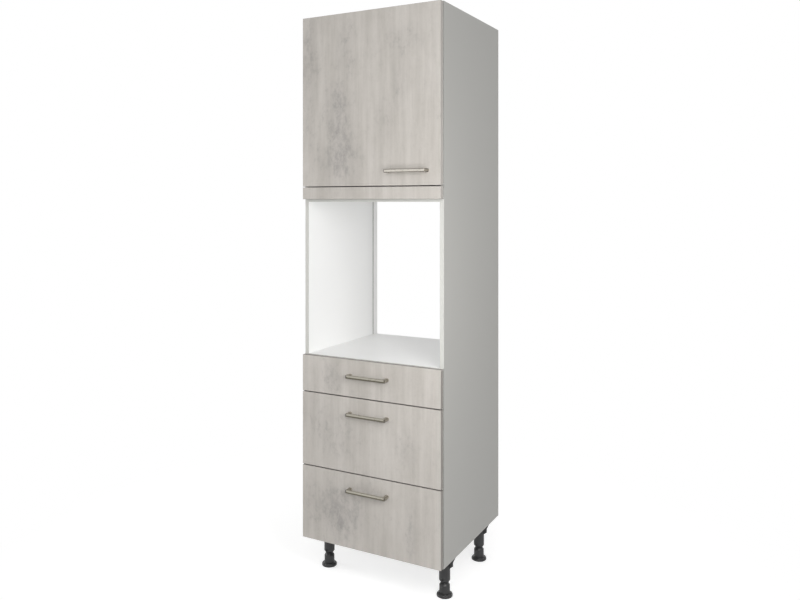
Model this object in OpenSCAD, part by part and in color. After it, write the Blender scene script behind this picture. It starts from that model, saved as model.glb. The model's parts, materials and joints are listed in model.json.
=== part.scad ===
// Tall oven housing unit: a fitted kitchen cabinet with three drawers,
// an open oven niche, a filler strip and an upper compartment behind a door.
// The origin is on the floor, in the middle of the width and of the whole depth.
// +Z is up and the fronts face -Y. All lengths are in millimetres.

/* [Carcass] */
// Outer width of the carcass
carcass_w = 600; // [400:1:900]
// Height of the carcass, without the legs
carcass_h = 2040; // [1900:1:2300]
// Depth of the side panels
carcass_d = 553; // [490:1:650]
// Thickness of the carcass panels
panel_t = 16; // [15:1:19]
// Radius of the carcass panels' edges
panel_edge_r = 0.6; // [0.3:0.1:1.5]
// Thickness of the back panels
back_t = 8; // [4:0.5:9]
// Depth of the grooves that hold the back panels
groove_deep = 8; // [4:0.5:9]
// From the rear edges of the side panels to the back panels
back_inset = 34.5; // [24:0.5:40]
// From the rear edges of the side panels to the rear edges of the niche panels
niche_panel_inset = 18; // [0:1:22]

/* [Oven niche] */
// Height of the top of the niche floor above the carcass bottom
niche_floor_z = 720; // [700:1:760]
// Clear height of the oven niche
niche_h = 598; // [560:1:610]

/* [Fronts] */
// Thickness of the door, the drawer fronts and the filler strip
front_t = 19; // [16:1:22]
// Radius of the fronts' edges
front_edge_r = 1; // [0.5:0.1:2]
// Gap between two fronts
front_joint = 3.4; // [2:0.2:5]
// From a side of the carcass to the edge of a front
side_reveal = 2; // [1.5:0.5:4]
// Gap between the fronts and the carcass edges, filled by the bumpers
bumper_gap = 2; // [1.5:0.1:3]
// Height of the bottom drawer's share of the drawer block
bottom_front_h = 288; // [240:1:320]
// Height of the middle drawer's share of the drawer block
middle_front_h = 288; // [240:1:320]
// Height of the filler strip above the niche
strip_h = 46; // [35:1:70]
// How far the filler strip hangs below the top of the niche ceiling
strip_drop = 5.5; // [2:0.5:12]

/* [Handles] */
// Distance between the two screws of a handle
handle_holes = 160; // [96:32:256]
// Width of a handle's foot, along its length
handle_foot = 12; // [10:0.5:20]
// Height of the handle's strip
handle_high = 13; // [10:0.5:20]
// Thickness of the handle's strip
handle_thick = 6; // [4:0.5:9]
// How far a handle stands out of a front
handle_out = 30; // [24:1:45]
// Outer corner radius of a handle
handle_corner = 7; // [2:0.5:10]
// Radius of a handle's long edges in front
handle_edge_r = 3; // [1:0.5:4.5]
// From a drawer front's upper edge to its handle
drawer_handle_drop = 60; // [30:1:66]
// From the door's lower and free edges to the handle's nearest screw
door_handle_inset = 54; // [30:1:90]

/* [Drawers] */
// Gap between the drawers and the back panel
drawer_rear_gap = 12.5; // [6:0.5:40]
// Height of the top drawer's sides
low_side_h = 86; // [60:1:90]
// Height of the middle and bottom drawers' sides
high_side_h = 118; // [100:1:140]
// Height of the gallery rails above the lower edge of the drawer sides
gallery_z = 190; // [165:1:215]
// Diameter of the gallery rails
gallery_d = 10; // [6:0.5:12]
// Thickness of the drawer bottoms and backs
drawer_panel_t = 16; // [12:0.5:18]
// Thickness of the steel sheet of the drawer sides and runners
sheet_t = 1.2; // [1:0.1:1.5]
// Gap between a drawer side and the side panel, for the runner
runner_room = 13; // [12.5:0.1:15]
// Diameter of the front rollers
front_roller_d = 22; // [20:0.5:24]
// Diameter of the rear rollers
rear_roller_d = 19.4; // [17:0.2:21]
// Width of the rollers
roller_w = 8; // [6:0.5:8.5]
// How far a drawer pulls out
drawer_travel = 370; // [250:5:400]

/* [Shelf] */
// Height of the adjustable shelf above the niche ceiling
shelf_up = 340; // [250:1:420]
// Spacing of the rows of shelf holes
hole_pitch = 32; // [25:1:32]
// Diameter of the shelf holes
shelf_hole_d = 5; // [4:0.5:6]
// Number of holes in each row
holes_in_row = 5; // [3:2:7]

/* [Hinges] */
// From the ends of the door to the middle of the hinges
hinge_end = 100; // [70:1:150]
// Diameter of the hinge cups
cup_d = 35; // [35:1:36]
// Depth of the hinge cups
cup_deep = 11.5; // [11:0.1:13]
// From the door's edge to the middle of the hinge cups
cup_inset = 22.5; // [22:0.1:23]

/* [Legs] */
// Height of the legs from the floor to the carcass
leg_h = 150; // [130:1:180]
// From a side of the carcass to a leg's axis
leg_in_x = 45; // [38:1:80]
// From the front and rear edges of the carcass to a leg's axis
leg_in_y = 106; // [50:1:150]
// Diameter of the leg sockets
socket_d = 42; // [38:1:50]
// Length of the leg sockets below the carcass
socket_len = 98.5; // [85:0.5:102]
// Diameter of the neck of the feet
neck_d = 27; // [24:1:30]
// Diameter of the collar of the feet
collar_d = 40; // [36:1:46]
// Diameter of the feet where they stand
foot_d = 60; // [50:1:70]
// How far a foot screws out of its socket
foot_travel = 20; // [10:1:22]

/* [Hidden] */

$fn = 48;
// Radial play of a part that turns or slides in a hole
play = 0.05;
// Play of a loose panel in its groove or on its pins
loose = 0.3;
// Extra length of a cut past the face it opens
past = 1;

// Depth positions: front_y is the fronts' outer face, seat_y their rear face
total_d = handle_out + front_t + bumper_gap + carcass_d;
front_y = handle_out - total_d / 2;
seat_y = front_y + front_t;
edge_y = seat_y + bumper_gap;
rear_y = edge_y + carcass_d;
groove_y = rear_y - back_inset - back_t;

// Width positions
side_x = carcass_w / 2;
inner_x = side_x - panel_t;
front_w = carcass_w - 2 * side_reveal;

// Heights above the floor
base_z = leg_h;
top_z = base_z + carcass_h;
floor_z = base_z + niche_floor_z;
ceiling_z = floor_z + niche_h;
ceiling_top_z = ceiling_z + panel_t;
strip_z = ceiling_top_z - strip_drop;
door_z = strip_z + strip_h + front_joint;
door_h = top_z - front_joint / 2 - door_z;

// Which drawer: 0 is the bottom one, 1 the middle one and 2 the top one
BOTTOM = 0;
MIDDLE = 1;
TOP = 2;
share_z = [0, bottom_front_h, bottom_front_h + middle_front_h, niche_floor_z];
function drawer_z(i) = base_z + share_z[i] + front_joint / 2;
function drawer_h(i) = share_z[i + 1] - share_z[i] - front_joint;
function side_h(i) = i == TOP ? low_side_h : high_side_h;

// Colours, as the photo shows them
front_colour = [0.74, 0.72, 0.69];
side_colour = [0.71, 0.70, 0.68];
white_colour = [0.92, 0.92, 0.91];
metal_colour = [0.78, 0.76, 0.73];
steel_colour = [0.66, 0.67, 0.68];
plastic_colour = [0.10, 0.10, 0.10];
wood_colour = [0.80, 0.66, 0.45];
roller_colour = [0.88, 0.88, 0.86];

// A box given by its two opposite corners
module block(low, high) {
    translate(low)
        cube(high - low);
}

// A rectangle with rounded corners, from the origin
module soft_rectangle(size, r) {
    translate([r, 0])
        square([size[0] - 2 * r, size[1]]);
    translate([0, r])
        square([size[0], size[1] - 2 * r]);
    for (x = [r, size[0] - r], y = [r, size[1] - r])
        translate([x, y])
            circle(r = r);
}

// A board between two opposite corners, with all its edges rounded
module board(low, high, r) {
    size = high - low;
    translate(low)
        intersection() {
            linear_extrude(height = size[2])
                soft_rectangle([size[0], size[1]], r);
            translate([0, size[1], 0])
                rotate([90, 0, 0])
                    linear_extrude(height = size[1])
                        soft_rectangle([size[0], size[2]], r);
            rotate([90, 0, 90])
                linear_extrude(height = size[0])
                    soft_rectangle([size[1], size[2]], r);
        }
}

// A rod along X, Y or Z from its starting point
module rod_x(from, r, len) {
    translate(from)
        rotate([0, 90, 0])
            cylinder(r = r, h = len);
}

module rod_y(from, r, len) {
    translate(from)
        rotate([-90, 0, 0])
            cylinder(r = r, h = len);
}

module rod_z(from, r, len) {
    translate(from)
        cylinder(r = r, h = len);
}

// Its children on the right, and mirrored on the left
module both_sides() {
    children();
    mirror([1, 0, 0])
        children();
}

// ---- Panel fittings: cams with their bolts, and dowels ----

cam_r = 7.4;
cam_deep = 12.5;
cam_in = 34;
bolt_r = 3.5;
bolt_thread_r = 2.45;
bolt_thread_len = 11;
dowel_r = 3.95;
dowel_in_side = 10;
dowel_in_panel = 20;
dowel_step = 32;
fitting_front = 40;
fitting_rear = 160;
fitting_ys = [edge_y + fitting_front, rear_y - fitting_rear];
dowel_ys = [fitting_ys[0] + dowel_step, fitting_ys[1] - dowel_step];
// Lower faces of the fixed panels, and the side on which their cams open
fixed_zs = [base_z, floor_z - panel_t, ceiling_z, top_z - panel_t];
cam_side = [-1, -1, 1, 1];

module connector_cams() {
    color(steel_colour)
        both_sides()
            for (i = [0 : 3], y = fitting_ys) {
                z = cam_side[i] > 0 ? fixed_zs[i] + panel_t - cam_deep : fixed_zs[i];
                rod_z([inner_x - cam_in, y, z], cam_r, cam_deep);
            }
}

module connector_bolts() {
    bolt_len = cam_in - cam_r - play;
    color(steel_colour)
        both_sides()
            for (z = fixed_zs, y = fitting_ys) {
                rod_x([inner_x - bolt_len, y, z + panel_t / 2], bolt_r, bolt_len);
                rod_x([inner_x, y, z + panel_t / 2], bolt_thread_r, bolt_thread_len);
            }
}

module wooden_dowels() {
    len = dowel_in_side + dowel_in_panel;
    color(wood_colour)
        both_sides()
            for (z = fixed_zs, y = dowel_ys)
                rod_x([inner_x - dowel_in_panel, y, z + panel_t / 2], dowel_r, len);
}

// The holes of one fixed panel for its cams, bolts and dowels
module panel_fitting_holes(i) {
    z = fixed_zs[i];
    cam_z = cam_side[i] > 0 ? z + panel_t - cam_deep : z - past;
    both_sides() {
        for (y = fitting_ys) {
            rod_z([inner_x - cam_in, y, cam_z], cam_r + play, cam_deep + past);
            rod_x([inner_x - cam_in, y, z + panel_t / 2], bolt_r + play, cam_in + past);
        }
        for (y = dowel_ys)
            rod_x([inner_x - dowel_in_panel, y, z + panel_t / 2],
                  dowel_r + play, dowel_in_panel + past);
    }
}

// The matching holes in the right side panel
module side_fitting_holes() {
    for (z = fixed_zs) {
        for (y = fitting_ys)
            rod_x([inner_x - past, y, z + panel_t / 2],
                  bolt_thread_r + play, bolt_thread_len + past);
        for (y = dowel_ys)
            rod_x([inner_x - past, y, z + panel_t / 2],
                  dowel_r + play, dowel_in_side + past);
    }
}

// ---- Shelf, its pins and their rows of holes ----

shelf_hole_deep = 10;
shelf_hole_edge = 37;
// Room behind a pin in its hole
pin_end_room = 1;
pin_out = 8;
pin_len = pin_out + shelf_hole_deep - pin_end_room;
pin_flange_r = 4;
pin_flange_t = 1.5;
shelf_z = ceiling_top_z + shelf_up;
pin_r = shelf_hole_d / 2 - play;
pin_z = shelf_z - pin_r - play;
pin_ys = [edge_y + shelf_hole_edge, groove_y - shelf_hole_edge];

module shelf_holes() {
    half = (holes_in_row - 1) / 2;
    for (k = [-half : half], y = pin_ys)
        rod_x([inner_x - past, y, pin_z + k * hole_pitch],
              shelf_hole_d / 2, shelf_hole_deep + past);
}

module shelf_pins() {
    color(steel_colour)
        both_sides()
            for (y = pin_ys) {
                rod_x([inner_x - pin_out, y, pin_z], pin_r, pin_len);
                // The flange is flat on top, where the shelf lies
                intersection() {
                    rod_x([inner_x - pin_flange_t, y, pin_z], pin_flange_r, pin_flange_t);
                    block([0, y - pin_flange_r, pin_z - pin_flange_r],
                          [inner_x, y + pin_flange_r, pin_z + pin_r]);
                }
            }
}

module adjustable_shelf() {
    color(white_colour)
        board([-inner_x + loose, edge_y + panel_t, shelf_z],
              [inner_x - loose, groove_y - loose, shelf_z + panel_t], panel_edge_r);
}

// ---- Carcass panels ----

module right_side_panel() {
    difference() {
        board([inner_x, edge_y, base_z], [side_x, rear_y, top_z], panel_edge_r);
        block([inner_x - past, groove_y - play, base_z - past],
              [inner_x + groove_deep, groove_y + back_t + play, top_z + past]);
        side_fitting_holes();
        shelf_holes();
        for (i = [BOTTOM : TOP])
            runner_screw_holes(i);
    }
}

module side_panel_right() {
    color(side_colour)
        right_side_panel();
}

module side_panel_left() {
    color(side_colour)
        mirror([1, 0, 0])
            right_side_panel();
}

// A fixed panel between the side panels; rear is its rear edge
module fixed_panel(i, rear) {
    color(white_colour)
        difference() {
            block([-inner_x, edge_y, fixed_zs[i]], [inner_x, rear, fixed_zs[i] + panel_t]);
            panel_fitting_holes(i);
            children();
        }
}

module bottom_panel() {
    fixed_panel(0, rear_y)
        for (sx = [-1, 1], y = leg_ys)
            peg_cuts(sx, y);
}

module niche_floor() {
    fixed_panel(1, rear_y - niche_panel_inset);
}

module niche_ceiling() {
    fixed_panel(2, rear_y - niche_panel_inset);
}

module top_panel() {
    fixed_panel(3, rear_y);
}

// A back panel in the side panels' grooves, standing on a fixed panel
module back_panel(low, high) {
    half = inner_x + groove_deep - loose;
    color(white_colour)
        block([-half, groove_y, low], [half, groove_y + back_t, high - loose]);
}

module lower_back_panel() {
    back_panel(base_z + panel_t, floor_z - panel_t);
}

module upper_back_panel() {
    back_panel(ceiling_top_z, top_z - panel_t);
}

// ---- Filler strip ----

bracket_t = bumper_gap;
bracket_w = 40;
bracket_up = 30;
bracket_back = 42;
bracket_in = 84;
bracket_x = inner_x - bracket_in;

module filler_strip() {
    color(front_colour)
        board([-front_w / 2, front_y, strip_z], [front_w / 2, seat_y, strip_z + strip_h],
              front_edge_r);
}

module filler_strip_brackets() {
    color(steel_colour)
        both_sides() {
            block([bracket_x, seat_y, ceiling_top_z],
                  [bracket_x + bracket_w, seat_y + bracket_t, ceiling_top_z + bracket_up]);
            block([bracket_x, seat_y, ceiling_top_z],
                  [bracket_x + bracket_w, seat_y + bracket_back, ceiling_top_z + bracket_t]);
        }
}

// ---- Bumpers between the fronts and the carcass edges ----

bumper_r = 4;
bumper_end = 20;
drawer_bumper_zs = [for (i = [BOTTOM : TOP]) drawer_z(i) + drawer_h(i) - bumper_end];
door_bumper_zs = [door_z + bumper_end, door_z + door_h - bumper_end];

module bumper(z) {
    thick = bumper_gap - 2 * play;
    rod_y([side_x - panel_t / 2, edge_y - thick, z], bumper_r, thick);
}

// Behind both ends of each drawer front, and behind the door's free edge
module front_bumpers() {
    color(roller_colour) {
        both_sides()
            for (z = drawer_bumper_zs)
                bumper(z);
        for (z = door_bumper_zs)
            bumper(z);
    }
}

// ---- Legs: sockets on the carcass, feet that screw out ----

plate_w = 62;
plate_t = 4;
peg_r = 5;
peg_len = 10;
peg_at = 22;
finger_w = 14;
finger_end = 3;
// The lower end of a socket and the top of a foot's collar taper to the neck
socket_taper = 8.5;
socket_tip = 1.5;
collar_taper = 8;
// Length of neck that stays in the socket when the foot is screwed out
neck_hold = 10;
neck_up = foot_travel + neck_hold;
neck_gap = 1.5;
stem_r = 9;
stem_len = 36;
clip_hole_r = 3;
clip_hole_deep = 3;
clip_ring_r = 5.5;
clip_ring_out = 0.8;
clip_hole_z = 85;
// A web braces the finger under the side panel: how far it stands out, and its corners below
// the carcass
web_t = 6;
web_out = 33.5;
web_top = 22;
web_low = 36;
web_foot = 46;
// The foot's disc: height of its upright edge, its chamfer on the floor and the radius of its dome
foot_edge = 5;
foot_chamfer = 1;
foot_dome_r = 8;
leg_x = side_x - leg_in_x;
leg_ys = [edge_y + leg_in_y, rear_y - leg_in_y];
collar_z = base_z - socket_len - neck_gap;
neck_top_z = collar_z + neck_up;
stem_top_z = neck_top_z + stem_len;

// The four pegs of a leg socket, wider by extra
module pegs(sx, y, extra) {
    for (dx = [-1, 1], dy = [-1, 1])
        rod_z([sx * leg_x + dx * peg_at, y + dy * peg_at, base_z], peg_r + extra, peg_len + extra);
}

// The peg holes in the bottom panel
module peg_cuts(sx, y) {
    for (dx = [-1, 1], dy = [-1, 1])
        rod_z([sx * leg_x + dx * peg_at, y + dy * peg_at, base_z - past],
              peg_r + play, peg_len + play + past);
}

// The web between a leg socket and its outer finger
module finger_web(sx, y) {
    root = socket_d / 2 - past;
    translate([sx * leg_x, y + web_t / 2, base_z])
        mirror([sx < 0 ? 1 : 0, 0, 0])
            rotate([90, 0, 0])
                linear_extrude(height = web_t)
                    polygon([
                        [root, -plate_t / 2], [leg_in_x - finger_end, -plate_t / 2],
                        [leg_in_x - finger_end, -plate_t], [web_out, -web_top],
                        [web_out, -web_low], [root, -web_foot]
                    ]);
}

module leg_socket(sx, y) {
    r = socket_d / 2;
    bottom = base_z - socket_len;
    facing = y < 0 ? -1 : 1;
    difference() {
        union() {
            translate([sx * leg_x, y, 0])
                rotate_extrude()
                    polygon([
                        [0, base_z], [r, base_z], [r, bottom + socket_taper],
                        [neck_d / 2 + socket_tip, bottom], [0, bottom]
                    ]);
            block([sx * leg_x - plate_w / 2, y - plate_w / 2, base_z - plate_t],
                  [sx * leg_x + plate_w / 2, y + plate_w / 2, base_z]);
            // Fingers under the side panel and towards the cabinet's near edge
            translate([sx * leg_x, y, base_z - plate_t])
                mirror([sx < 0 ? 1 : 0, 0, 0])
                    block([0, -finger_w / 2, 0], [leg_in_x - finger_end, finger_w / 2, plate_t]);
            translate([sx * leg_x - finger_w / 2, y, base_z - plate_t])
                mirror([0, facing < 0 ? 1 : 0, 0])
                    block([0, 0, 0], [finger_w, plate_w / 2 + finger_w, plate_t]);
            pegs(sx, y, 0);
            finger_web(sx, y);
            rod_y([sx * leg_x, y - r - clip_ring_out, base_z - clip_hole_z],
                  clip_ring_r, r - neck_d / 2);
        }
        rod_z([sx * leg_x, y, bottom - past], neck_d / 2 + play, neck_top_z - bottom + past);
        rod_z([sx * leg_x, y, bottom], stem_r + play, stem_top_z + play - bottom);
        rod_y([sx * leg_x, y - r - clip_ring_out - past, base_z - clip_hole_z],
              clip_hole_r, clip_ring_out + clip_hole_deep + past);
    }
}

module leg_sockets() {
    color(plastic_colour)
        for (sx = [-1, 1], y = leg_ys)
            leg_socket(sx, y);
}

// A foot: its disc is domed up to the collar, and a stem reaches into the socket
module foot(sx, y) {
    dome_r = min(foot_dome_r, (foot_d - collar_d) / 2);
    dome_in = foot_d / 2 - dome_r;
    dome_z = foot_edge + dome_r;
    color(plastic_colour)
        translate([sx * leg_x, y, 0])
            rotate_extrude() {
                polygon([
                    [0, 0], [foot_d / 2 - foot_chamfer, 0], [foot_d / 2, foot_chamfer],
                    [foot_d / 2, foot_edge], [0, foot_edge]
                ]);
                intersection() {
                    translate([dome_in, foot_edge])
                        circle(r = dome_r);
                    translate([0, foot_edge])
                        square([foot_d / 2, dome_r]);
                }
                polygon([
                    [0, foot_edge], [dome_in, foot_edge], [dome_in, dome_z], [collar_d / 2, dome_z],
                    [collar_d / 2, collar_z - collar_taper], [neck_d / 2, collar_z],
                    [neck_d / 2, neck_top_z], [stem_r, neck_top_z],
                    [stem_r, stem_top_z], [0, stem_top_z]
                ]);
            }
}

// ---- Handles ----

handle_len = handle_holes + handle_foot;
handle_screw_r = 2;
handle_screw_in = 12;
screw_head_r = 4.2;
screw_head_t = 2.4;
handle_inner_corner = 2;
// Radius of a handle's ends, seen from the front
handle_end_r = 4.5;

// The bow of a handle seen from above, standing on the line y = 0
module handle_outline() {
    half = handle_len / 2;
    inner_corner = handle_inner_corner;
    difference() {
        union() {
            translate([-half, -handle_out + handle_corner])
                square([handle_len, handle_out - handle_corner]);
            translate([-half + handle_corner, -handle_out])
                square([handle_len - 2 * handle_corner, handle_out]);
            for (s = [-1, 1])
                translate([s * (half - handle_corner), -handle_out + handle_corner])
                    circle(r = handle_corner);
        }
        translate([-half + handle_foot, -handle_out + handle_thick + inner_corner])
            square([handle_len - 2 * handle_foot, handle_out]);
        translate([-half + handle_foot + inner_corner, -handle_out + handle_thick])
            square([handle_len - 2 * (handle_foot + inner_corner), handle_out]);
        for (s = [-1, 1])
            translate([s * (half - handle_foot - inner_corner),
                       -handle_out + handle_thick + inner_corner])
                circle(r = inner_corner);
    }
}

// A handle centred on x and z, with rounded edges and ends
module handle(x, z) {
    color(metal_colour)
        translate([x, front_y, z])
            difference() {
                translate([0, 0, -handle_high / 2])
                    intersection() {
                        linear_extrude(height = handle_high)
                            handle_outline();
                        translate([-handle_len / 2, -handle_out, 0])
                            rotate([90, 0, 90])
                                linear_extrude(height = handle_len)
                                    soft_rectangle([handle_out + handle_edge_r, handle_high],
                                                   handle_edge_r);
                        translate([-handle_len / 2, 0, 0])
                            rotate([90, 0, 0])
                                linear_extrude(height = handle_out)
                                    soft_rectangle([handle_len, handle_high], handle_end_r);
                    }
                for (s = [-1, 1])
                    rod_y([s * handle_holes / 2, -handle_screw_in - past, 0],
                          handle_screw_r + play, handle_screw_in + 2 * past);
            }
}

module handle_screws(x, z) {
    color(steel_colour)
        for (s = [-1, 1]) {
            rod_y([x + s * handle_holes / 2, front_y - handle_screw_in, z],
                  handle_screw_r, handle_screw_in + front_t);
            rod_y([x + s * handle_holes / 2, seat_y, z], screw_head_r, screw_head_t);
        }
}

// The screw holes of a handle through a front
module handle_holes_cut(x, z) {
    for (s = [-1, 1])
        rod_y([x + s * handle_holes / 2, front_y - past, z],
              handle_screw_r + loose, front_t + 2 * past);
}

// ---- Door ----

door_handle_x = front_w / 2 - door_handle_inset - handle_holes / 2;
door_handle_z = door_z + door_handle_inset;

module door_panel() {
    color(front_colour)
        difference() {
            board([-front_w / 2, front_y, door_z], [front_w / 2, seat_y, door_z + door_h],
                  front_edge_r);
            handle_holes_cut(door_handle_x, door_handle_z);
            for (z = hinge_zs)
                rod_y([cup_x, seat_y - cup_deep, z], cup_d / 2, cup_deep + past);
        }
}

module door_handle() {
    handle(door_handle_x, door_handle_z);
}

module door_handle_screws() {
    handle_screws(door_handle_x, door_handle_z);
}

// ---- Concealed hinges ----
// A link joins the arm's pivot, behind the door, to the cup's pivot, in the door.

hinge_zs = [door_z + hinge_end, door_z + door_h - hinge_end];
cup_x = -front_w / 2 + cup_inset;
cup_wall = 1.2;
rim_r = 18.6;
rim_t = 0.8;
ear_w = 16;
ear_half = 27;
ear_shift = 4;
link_half = 5;
link_play = 0.3;
link_room = 1;
link_t = 2.4;
knuckle_r = 3;
hinge_pin_r = 1.5;
lug_t = 2;
lug_half_w = 2.6;
// Places of the two pivots, from the middle of the cup and from the fronts' rear face
cup_pivot_out = 6.5;
cup_pivot_deep = 6;
arm_pivot_in = 27.5;
arm_pivot_back = 5;
cup_pivot = [cup_x - cup_pivot_out, seat_y - cup_pivot_deep];
arm_pivot = [cup_x + arm_pivot_in, seat_y + arm_pivot_back];
pivot_step = arm_pivot - cup_pivot;
link_len = norm(pivot_step);
link_turn = atan2(pivot_step[1], pivot_step[0]);

// The link's bends keep it off the edges of the cup's hole
link_bend_in = [11.5, -2];
link_bend_out = [24, 0.8];

// The link's bent strip, from the cup's pivot at the origin along +X
module link_outline() {
    bend = [[0, 0], link_bend_in, link_bend_out, [link_len, 0]];
    for (k = [0 : 2]) {
        a = bend[k];
        b = bend[k + 1];
        d = b - a;
        translate(a)
            rotate(atan2(d[1], d[0]))
                translate([0, -link_t / 2])
                    square([norm(d), link_t]);
    }
    for (k = [1, 2])
        translate(bend[k])
            circle(r = link_t / 2);
    for (k = [0, 3])
        translate(bend[k])
            circle(r = knuckle_r);
}

module hinge_links() {
    color(steel_colour)
        for (z = hinge_zs)
            translate([cup_pivot[0], cup_pivot[1], z - link_half])
                rotate(link_turn)
                    difference() {
                        linear_extrude(height = 2 * link_half)
                            link_outline();
                        for (x = [0, link_len])
                            rod_z([x, 0, -past], hinge_pin_r + play, 2 * link_half + 2 * past);
                    }
}

module hinge_cups() {
    inner_r = cup_d / 2 - play - cup_wall;
    bottom_y = seat_y - cup_deep;
    lug_z = link_half + link_play;
    color(metal_colour)
        for (z = hinge_zs) {
            difference() {
                union() {
                    rod_y([cup_x, bottom_y, z], cup_d / 2 - play, cup_deep);
                    rod_y([cup_x, seat_y, z], rim_r, rim_t);
                    block([cup_x + ear_shift - ear_w / 2, seat_y, z - ear_half],
                          [cup_x + ear_shift + ear_w / 2, seat_y + rim_t, z + ear_half]);
                }
                rod_y([cup_x, bottom_y + cup_wall, z], inner_r, cup_deep + past);
                // Room for the link at both ends of its swing
                block([cup_x - rim_r - past, seat_y - cup_deep / 2, z - link_half - link_room],
                      [cup_x + rim_r + past, seat_y + rim_t + past, z + link_half + link_room]);
            }
            for (s = [-1, 1])
                translate([0, 0, z + s * (lug_z + lug_t / 2)])
                    block([cup_pivot[0] - lug_half_w, bottom_y + cup_wall, -lug_t / 2],
                          [cup_pivot[0] + lug_half_w, cup_pivot[1] + lug_half_w, lug_t / 2]);
            rod_z([cup_pivot[0], cup_pivot[1], z - lug_z - lug_t], hinge_pin_r,
                  2 * (lug_z + lug_t));
        }
}

plate_high = 14;
plate_screw_r = 4;
plate_screw_head = 1.2;
plate_screw_step = 38;
plate_in = 37;
plate_half = 8;
wing_t = 3;
wing_w = 20;
wing_half = 24;
plate_front = 18;
plate_len = 50;

module hinge_plates() {
    color(steel_colour)
        for (z = hinge_zs) {
            block([-inner_x, edge_y + plate_front, z - plate_half],
                  [-inner_x + plate_high, edge_y + plate_front + plate_len, z + plate_half]);
            block([-inner_x, edge_y + plate_in - wing_w / 2, z - wing_half],
                  [-inner_x + wing_t, edge_y + plate_in + wing_w / 2, z + wing_half]);
            for (s = [-1, 1])
                rod_x([-inner_x, edge_y + plate_in, z + s * plate_screw_step / 2],
                      plate_screw_r, wing_t + plate_screw_head);
        }
}

arm_t = 12;
arm_over = 2;
arm_nose_r = 3.3;
arm_fork = 15;
arm_bend = 25;
arm_slant = 1;

// The arm seen from above: it lies on the plate and reaches out to its pivot
module arm_outline() {
    low = -inner_x + plate_high;
    rear = edge_y + plate_front + plate_len + arm_over;
    polygon([
        [low, rear], [low, edge_y + plate_front + arm_over],
        arm_pivot + [-knuckle_r, -arm_slant], arm_pivot + [knuckle_r, arm_slant],
        [arm_pivot[0] + arm_slant, edge_y + arm_fork], [low + arm_t, edge_y + arm_bend],
        [low + arm_t, rear]
    ]);
    translate(arm_pivot)
        circle(r = arm_nose_r);
}

module hinge_arms() {
    half = link_half + link_play + lug_t;
    color(metal_colour)
        for (z = hinge_zs) {
            difference() {
                translate([0, 0, z - half])
                    linear_extrude(height = 2 * half)
                        arm_outline();
                block([cup_x, seat_y, z - link_half - link_play],
                      [0, edge_y + arm_fork, z + link_half + link_play]);
            }
            rod_z([arm_pivot[0], arm_pivot[1], z - half], hinge_pin_r, 2 * half);
        }
}

// ---- Drawers and their roller runners ----
// A drawer's side carries a roller at its rear end, which runs in the cabinet's
// channel. Its track flange runs on a roller at the front end of that channel.

runner_up = 27;
side_below = 6;
channel_h = 22;
channel_w = 12.4;
lip_h = 2;
lip_room = 1;
flange_in = 12;
bead_r = 2.2;
axle_r = 3;
front_roller_in = 16;
front_roller_y = edge_y + front_roller_in;
rear_roller_in = 14;
stop_h = 3;
stop_len = 5;
front_cut = 32;
screw_hole_r = 2;
screw_hole_deep = 11;
web_x = inner_x - runner_room;
// The rollers stand just outside the drawer side
roller_room = 0.8;
roller_x = web_x + roller_w / 2 + roller_room;
bar_half = web_x - sheet_t;
side_end_y = groove_y - drawer_rear_gap;
side_len = side_end_y - seat_y;
rear_roller_y = side_end_y - rear_roller_in;
back_y = side_end_y - drawer_panel_t;

function run_z(i) = drawer_z(i) + runner_up;
function low_z(i) = run_z(i) - side_below;
function track_z(i) = front_roller_z(i) + front_roller_d / 2 + play;
function front_roller_z(i) = run_z(i) + channel_h + lip_h + lip_room - front_roller_d / 2;
function rear_roller_z(i) = run_z(i) + sheet_t + rear_roller_d / 2 + play;
function drawer_floor_z(i) = low_z(i) + sheet_t + drawer_panel_t;

runner_head_r = 3.5;
runner_head_t = 1.5;
// The channel starts behind the carcass edge and ends before the drawer sides do
channel_front_in = 2;
channel_rear_in = 6;
channel_front = edge_y + channel_front_in;
channel_rear = side_end_y - channel_rear_in;
runner_screw_in = 58;
runner_screws_y = [
    channel_front + runner_screw_in, (channel_front + channel_rear) / 2,
    channel_rear - runner_screw_in
];
ear_up = 2;

module runner_screw_holes(i) {
    for (y = runner_screws_y)
        rod_x([inner_x - past, y, run_z(i) + channel_h / 2], screw_hole_r, screw_hole_deep + past);
}

module cabinet_runner(i) {
    z = run_z(i);
    // The rear roller meets the stop's upper edge at the end of the travel
    stop_reach = sqrt(pow(rear_roller_d / 2, 2) - pow(rear_roller_d / 2 - stop_h, 2));
    stop_y = rear_roller_y - drawer_travel - stop_reach - loose;
    difference() {
        union() {
            block([inner_x - sheet_t, channel_front, z], [inner_x, channel_rear, z + channel_h]);
            block([inner_x - channel_w, channel_front, z], [inner_x, channel_rear, z + sheet_t]);
            block([inner_x - channel_w, channel_front, z + channel_h - sheet_t],
                  [inner_x, channel_rear, z + channel_h]);
            block([inner_x - channel_w, stop_y - stop_len, z],
                  [inner_x, stop_y, z + sheet_t + stop_h]);
            rod_x([inner_x - channel_w, front_roller_y, front_roller_z(i)], axle_r, channel_w);
            // Ear that carries the front roller's axle above the channel
            block([inner_x - sheet_t, channel_front, z],
                  [inner_x, edge_y + front_cut, z + channel_h + ear_up]);
        }
        // The channel is open on top around the front roller
        block([inner_x - channel_w - past, edge_y, z + channel_h - sheet_t - past],
              [inner_x - sheet_t, edge_y + front_cut, z + channel_h + past]);
    }
    // Screws in the side panel
    for (y = runner_screws_y) {
        rod_x([inner_x - sheet_t - runner_head_t, y, z + channel_h / 2],
              runner_head_r, runner_head_t + play);
        rod_x([inner_x - sheet_t, y, z + channel_h / 2], screw_hole_r - play, screw_hole_deep);
    }
}

module cabinet_runners() {
    color(white_colour)
        both_sides()
            for (i = [BOTTOM : TOP])
                cabinet_runner(i);
}

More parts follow.
